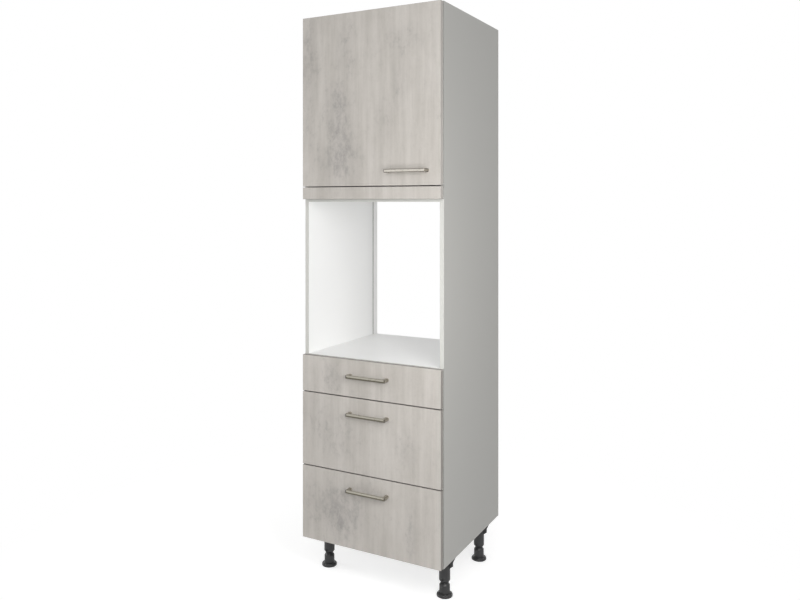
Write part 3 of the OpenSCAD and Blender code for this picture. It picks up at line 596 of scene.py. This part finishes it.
def add_piece(form, node, ending, body, slot):
    """A smooth-shaded piece made from form, which rides on a body and stands for a frame node."""
    mesh = bpy.data.meshes.new(node)
    form.to_mesh(mesh)
    form.free()
    mesh.shade_smooth()
    mesh.set_sharp_from_angle(angle=math.radians(SHARP_ANGLE))
    piece = bpy.data.objects.new(node + ending, mesh)
    bpy.context.scene.collection.objects.link(piece)
    dress(piece, materials[slot])
    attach(piece, body)
    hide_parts(node)


def turn(form, base, axes, rows, angles, radius_at):
    """Adds a closed shape turned about an axis. base is a point on the axis, axes are the two
    directions across it and the one along it, and radius_at gives a row's radius and its distance
    along the axis at an angle."""
    across, aside, along = axes
    rings = []
    for row in rows:
        ring = []
        for angle in angles:
            radius, height = radius_at(row, angle)
            spoke = across * math.cos(angle) + aside * math.sin(angle)
            ring.append(form.verts.new(base + spoke * radius + along * height))
        rings.append(ring)
    for below, above in zip(rings, rings[1:]):
        for step in range(len(angles)):
            after = (step + 1) % len(angles)
            form.faces.new((below[step], below[after], above[after], above[step]))
    form.faces.new(list(reversed(rings[0])))
    form.faces.new(rings[-1])


# ---- Feet: disc with a dented dome, fluted collar, threaded neck and stem ----

FOOT_EDGE = 5 * MM
FOOT_CHAMFER = 1 * MM
DOME_R = 8 * MM
DOME_STEPS = 12
COLLAR_R = 20 * MM
COLLAR_TOP = 42 * MM
COLLAR_STEPS = 8
COLLAR_FOOT = 0.6 * MM
COLLAR_ROUND = 0.4 * MM
FLUTES_IN = 1.6 * MM
FLUTES_SHORT = 2.4 * MM
NECK_R = 13.5 * MM
NECK_LOW = 50 * MM
NECK_TOP = 80 * MM
NECK_ROUND_R = 0.8 * MM
NECK_ROUND_H = 0.6 * MM
STEM_R = 9 * MM
FLUTES = 22
FLUTE_DEEP = 0.9 * MM
DENTS = 9
DENT_DEEP = 1.8 * MM
DENT_SINK = 0.8
DENT_MIDDLE = 42
DENT_SPAN = 34
DENT_WIDE = 0.33
THREAD_PITCH = 4 * MM
THREAD_DEEP = 0.7 * MM
THREAD_ROWS = 34
THREAD_FADE = 9
FOOT_SEGMENTS = 132
FEET = ("foot_front_left", "foot_front_right", "foot_rear_left", "foot_rear_right")


def hump(value, middle, half_width):
    """A smooth bump from 0 to 1 and back, around middle."""
    away = abs(value - middle) / half_width
    return 0.5 + 0.5 * math.cos(math.pi * away) if away < 1 else 0.0


def wave(angle):
    """0 at angle 0, 1 half a turn on."""
    return 0.5 - 0.5 * math.cos(angle)


def foot_rows(disc_r, top):
    """A foot's outline from the floor up: radius, height, and share of flute, dent and thread."""
    rows = [(disc_r - FOOT_CHAMFER, 0.0, 0, 0, 0), (disc_r, FOOT_CHAMFER, 0, 0, 0),
            (disc_r, FOOT_EDGE, 0, 0, 0)]
    for step in range(1, DOME_STEPS + 1):
        turned = math.pi / 2 * step / DOME_STEPS
        dent = hump(math.degrees(turned), DENT_MIDDLE, DENT_SPAN)
        rows.append((disc_r - DOME_R + DOME_R * math.cos(turned), FOOT_EDGE + DOME_R * math.sin(turned),
                     0, dent, 0))
    low = FOOT_EDGE + DOME_R
    rows.append((COLLAR_R + COLLAR_FOOT, low, 0, 0, 0))
    rows.append((COLLAR_R, low + COLLAR_FOOT, 0, 0, 0))
    for step in range(COLLAR_STEPS + 1):
        share = step / COLLAR_STEPS
        flute = min(1, COLLAR_STEPS * share, COLLAR_STEPS * (1 - share))
        rows.append((COLLAR_R, low + FLUTES_IN + share * (COLLAR_TOP - low - FLUTES_SHORT), flute, 0, 0))
    rows.append((COLLAR_R - COLLAR_ROUND, COLLAR_TOP, 0, 0, 0))
    rows.append((NECK_R + NECK_ROUND_R, NECK_LOW - NECK_ROUND_H, 0, 0, 0))
    rows.append((NECK_R, NECK_LOW, 0, 0, 0))
    for step in range(1, THREAD_ROWS):
        share = step / THREAD_ROWS
        thread = min(1, THREAD_FADE * share, THREAD_FADE - THREAD_FADE * share)
        rows.append((NECK_R, NECK_LOW + share * (NECK_TOP - NECK_LOW), 0, 0, thread))
    rows += [(NECK_R, NECK_TOP, 0, 0, 0), (STEM_R, NECK_TOP, 0, 0, 0), (STEM_R, top, 0, 0, 0)]
    return rows


def foot_radius(row, angle):
    """A foot's radius and height at an angle, with its flutes, dents and thread cut in."""
    radius, height, flute, dent, thread = row
    radius -= flute * FLUTE_DEEP * wave(FLUTES * angle)
    radius -= thread * THREAD_DEEP * wave(angle - 2 * math.pi * height / THREAD_PITCH)
    if dent:
        share = (angle * DENTS / (2 * math.pi)) % 1
        sink = dent * DENT_DEEP * hump(share, 0.5, DENT_WIDE)
        radius -= sink
        height -= sink * DENT_SINK
    return radius, height


def make_foot(node):
    low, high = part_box(node)
    centre = (low + high) / 2
    disc_r = (high.x - low.x) / 2
    angles = [2 * math.pi * step / FOOT_SEGMENTS for step in range(FOOT_SEGMENTS)]
    form = bmesh.new()
    turn(form, Vector((centre.x, centre.y, 0)), UPWARDS, foot_rows(disc_r, high.z), angles, foot_radius)
    add_piece(form, node, "_moulded", node, "black_plastic")


for foot in FEET:
    make_foot(foot)

# ---- Fasteners with cross recesses ----

SAME_PLACE = 0.001 * MM
SCREW_R = 2 * MM
SCREW_TIP = 0.3
SCREW_TIP_R = 0.7
SCREW_HEAD_T = 2.4 * MM
SCREW_HEAD_ROUND = 1.0 * MM
SCREW_ROUND_STEPS = 4
# Half the length and half the width of a cross, its depth, and how it narrows downwards
SCREW_CROSS = (2.3 * MM, 0.55 * MM)
SCREW_CROSS_DEEP = 1.5 * MM
SCREW_CROSS_NARROW = 0.75
CAM_RIM = 0.3 * MM
CAM_RIM_IN = 1.3 * MM
CAM_SINK = 0.4 * MM
CAM_CROSS = (4.4 * MM, 1.0 * MM)
CAM_CROSS_DEEP = 2.6 * MM
CAM_CROSS_NARROW = 0.8
CAMS = "connector_cams"
HANDLE_SCREWS = {
    "door": "door_handle_screws",
    "top_drawer": "top_drawer_handle_screws",
    "middle_drawer": "middle_drawer_handle_screws",
    "bottom_drawer": "bottom_drawer_handle_screws",
}


def joined_places(start, seen):
    """The places of all vertices that edges join to start. Adds the vertices to seen."""
    seen.add(start)
    waiting = [start]
    places = []
    while waiting:
        vertex = waiting.pop()
        places.append(vertex.co.copy())
        for edge in vertex.link_edges:
            other = edge.other_vert(vertex)
            if other not in seen:
                seen.add(other)
                waiting.append(other)
    return places


def solids_of(node):
    """The lowest and highest corners of each separate solid of a CAD node."""
    form = bmesh.new()
    form.from_mesh(nodes[node].data)
    bmesh.ops.remove_doubles(form, verts=form.verts, dist=SAME_PLACE)
    seen = set()
    boxes = []
    for start in form.verts:
        if start not in seen:
            places = joined_places(start, seen)
            low = Vector([min(place[axis] for place in places) for axis in range(3)])
            high = Vector([max(place[axis] for place in places) for axis in range(3)])
            boxes.append((low, high))
    form.free()
    return boxes


def cross_angles(arm, half_width):
    """Angles round a fastener, with one at every corner of its cross recess."""
    corner = math.atan2(half_width, arm)
    eighth = math.pi / 4
    third = (eighth - corner) / 3
    steps = [0.0, corner / 2, corner, corner + third, corner + 2 * third, eighth]
    quarter = steps + [math.pi / 2 - angle for angle in reversed(steps[1:-1])]
    return [turned * math.pi / 2 + angle for turned in range(4) for angle in quarter]


def add_fastener(form, base, axes, rows, arm, half_width):
    """rows go from base to the recess: distance along the axis, radius, and share of the cross's
    size, which is 0 where the row is round."""
    def radius_at(row, angle):
        height, radius, cross = row
        if cross:
            longer, shorter = sorted((abs(math.cos(angle)), abs(math.sin(angle))), reverse=True)
            reach = arm / longer
            if shorter * reach > half_width:
                reach = half_width / shorter
            radius = reach * cross
        return radius, height

    turn(form, base, axes, rows, cross_angles(arm, half_width), radius_at)


def make_handle_screws(body, node):
    form = bmesh.new()
    for low, high in solids_of(node):
        middle = (low + high) / 2
        head_r = (high.x - low.x) / 2
        long = high.y - low.y
        seat = long - SCREW_HEAD_T
        rows = [(0.0, SCREW_R * SCREW_TIP_R, 0), (SCREW_R * SCREW_TIP, SCREW_R, 0), (seat, SCREW_R, 0),
                (seat, head_r, 0)]
        for step in range(SCREW_ROUND_STEPS + 1):
            turned = math.pi / 2 * step / SCREW_ROUND_STEPS
            rows.append((long - SCREW_HEAD_ROUND * (1 - math.sin(turned)),
                         head_r - SCREW_HEAD_ROUND * (1 - math.cos(turned)), 0))
        rows += [(long, 0, 1.0), (long - SCREW_CROSS_DEEP, 0, SCREW_CROSS_NARROW)]
        add_fastener(form, Vector((middle.x, low.y, middle.z)), REARWARDS, rows, *SCREW_CROSS)
    add_piece(form, node, "_recessed", body, "zinc_steel")


def make_cams():
    """Cam fittings, which open down in the panels below the niche and up in those above it."""
    form = bmesh.new()
    for low, high in solids_of(CAMS):
        middle = (low + high) / 2
        radius = (high.x - low.x) / 2
        long = high.z - low.z
        rows = [(0.0, radius, 0), (long - CAM_RIM, radius, 0), (long, radius - CAM_RIM, 0),
                (long, radius - CAM_RIM_IN, 0), (long - CAM_SINK, radius - CAM_RIM_IN - CAM_SINK, 0),
                (long - CAM_SINK, 0, 1.0), (long - CAM_CROSS_DEEP, 0, CAM_CROSS_NARROW)]
        opens_down = high.z < niche_low_z
        base_z, axes = (high.z, DOWNWARDS) if opens_down else (low.z, UPWARDS)
        add_fastener(form, Vector((middle.x, middle.y, base_z)), axes, rows, *CAM_CROSS)
    add_piece(form, CAMS, "_recessed", "carcass", "zinc_steel")


for carrier, screws in HANDLE_SCREWS.items():
    make_handle_screws(carrier, screws)
make_cams()

# ---- Floor, backdrop, light and camera ----

# The floor is a plain surface near the cabinet and turns into the white backdrop further out
FLOOR_R = 9.0
FLOOR_SEGMENTS = 96
FLOOR_NEAR = 0.6
FLOOR_FAR = 1.7
FLOOR_LIFT = 0.60
FLOOR_ROUGH = 0.9

# The world is brighter in front of the cabinet, on the right, than behind it
WORLD_FRONT = (0.42, -0.78, 0.46)
WORLD_DIM = 0.255
WORLD_BRIGHT = 0.64
WORLD_DIM_AT = -0.7
WORLD_BRIGHT_AT = 0.9

# Softboxes: place, the point that they face, width and height, and watts
SOFTBOXES = {
    "key": ((0.9, -3.4, 2.3), (0, 0, 1.2), (1.0, 1.0), 20.5),
    "side": ((2.2, -1.6, 2.2), (0.3, -0.2, 1.2), (0.9, 1.1), 12.5),
    "near": ((1.05, -1.1, 1.2), (0.3, -0.25, 1.2), (0.4, 0.7), 8.5),
    "left": ((-2.6, -0.7, 1.1), (-0.3, 0, 1.1), (1.0, 1.0), 16),
    "rear": ((-1.4, 2.8, 0.5), (0, 0.3, 1.1), (1.4, 0.6), 18),
}

# The camera's place and lens follow from straight edges of the photo, with the camera level
CAMERA_PLACE = (1.459, -2.804, 1.469)
CAMERA_TURN = 29.10
FOCAL_PIXELS = 779.5
IMAGE_SIZE = (800, 600)
CENTRE_PIXEL = (380.0, 201.6)
SENSOR = 36.0


def sees_backdrop(tree):
    """1 for camera, glossy and transmission rays, 0 for the rays that light surfaces."""
    path = tree.nodes.new("ShaderNodeLightPath")
    result = path.outputs["Is Camera Ray"]
    for name in ("Is Glossy Ray", "Is Transmission Ray"):
        result = add_node(tree, "ShaderNodeMath", result, path.outputs[name], operation="MAXIMUM").outputs[0]
    return result


def floor_material():
    material = bpy.data.materials.new("floor")
    material.use_nodes = True
    tree = material.node_tree
    diffuse = tree.nodes["Principled BSDF"]
    diffuse.inputs["Base Color"].default_value = FLOOR_COLOUR
    diffuse.inputs["Roughness"].default_value = FLOOR_ROUGH
    diffuse.inputs["Specular IOR Level"].default_value = 0.0
    seen = sees_backdrop(tree)
    lift = add_node(tree, "ShaderNodeMath", seen, FLOOR_LIFT, operation="MULTIPLY").outputs[0]
    glow = add_node(tree, "ShaderNodeEmission", Strength=lift).outputs[0]
    lifted = add_node(tree, "ShaderNodeAddShader", diffuse.outputs[0], glow).outputs[0]
    place = tree.nodes.new("ShaderNodeTexCoord").outputs["Object"]
    far = add_node(tree, "ShaderNodeVectorMath", place, operation="LENGTH").outputs["Value"]
    fade = add_ramp(tree, far, FLOOR_NEAR, FLOOR_FAR)
    share = add_node(tree, "ShaderNodeMath", fade, seen, operation="MULTIPLY").outputs[0]
    white = tree.nodes.new("ShaderNodeEmission").outputs[0]
    mixer = add_node(tree, "ShaderNodeMixShader", share, lifted, white)
    tree.links.new(mixer.outputs[0], tree.nodes["Material Output"].inputs["Surface"])
    return material


def make_floor():
    mesh = bpy.data.meshes.new("floor")
    form = bmesh.new()
    bmesh.ops.create_circle(form, cap_ends=True, segments=FLOOR_SEGMENTS, radius=FLOOR_R)
    form.to_mesh(mesh)
    form.free()
    floor = bpy.data.objects.new("floor", mesh)
    bpy.context.scene.collection.objects.link(floor)
    dress(floor, floor_material())


def make_world():
    world = bpy.data.worlds.new("studio")
    world.use_nodes = True
    bpy.context.scene.world = world
    tree = world.node_tree
    background = tree.nodes["Background"]
    background.inputs["Color"].default_value = BACKDROP
    direction = tree.nodes.new("ShaderNodeTexCoord").outputs["Generated"]
    facing = add_node(tree, "ShaderNodeVectorMath", direction, WORLD_FRONT,
                      operation="DOT_PRODUCT").outputs["Value"]
    light = add_ramp(tree, facing, WORLD_DIM_AT, WORLD_BRIGHT_AT, WORLD_DIM, WORLD_BRIGHT)
    # As light where it lights surfaces, and 1 where it is seen
    strength = add_node(tree, "ShaderNodeMapRange", Value=sees_backdrop(tree), To_Min=light)
    tree.links.new(strength.outputs[0], background.inputs["Strength"])


def make_softbox(name, place, target, size, watts):
    data = bpy.data.lights.new(name, "AREA")
    data.shape = "RECTANGLE"
    data.size, data.size_y = size
    data.energy = watts
    lamp = bpy.data.objects.new(name, data)
    lamp.location = place
    lamp.rotation_euler = (Vector(target) - Vector(place)).to_track_quat("-Z", "Y").to_euler()
    lamp.visible_camera = False
    bpy.context.scene.collection.objects.link(lamp)


def make_camera():
    data = bpy.data.cameras.new("camera")
    data.sensor_width = SENSOR
    data.lens = FOCAL_PIXELS * SENSOR / IMAGE_SIZE[0]
    data.shift_x = (IMAGE_SIZE[0] / 2 - CENTRE_PIXEL[0]) / IMAGE_SIZE[0]
    data.shift_y = (CENTRE_PIXEL[1] - IMAGE_SIZE[1] / 2) / IMAGE_SIZE[0]
    camera = bpy.data.objects.new("camera", data)
    camera.location = CAMERA_PLACE
    camera.rotation_euler = (math.radians(90), 0, math.radians(CAMERA_TURN))
    bpy.context.scene.collection.objects.link(camera)
    bpy.context.scene.camera = camera


make_floor()
make_world()
for softbox, settings in SOFTBOXES.items():
    make_softbox(softbox, *settings)
make_camera()
bpy.context.scene.view_settings.view_transform = "Standard"
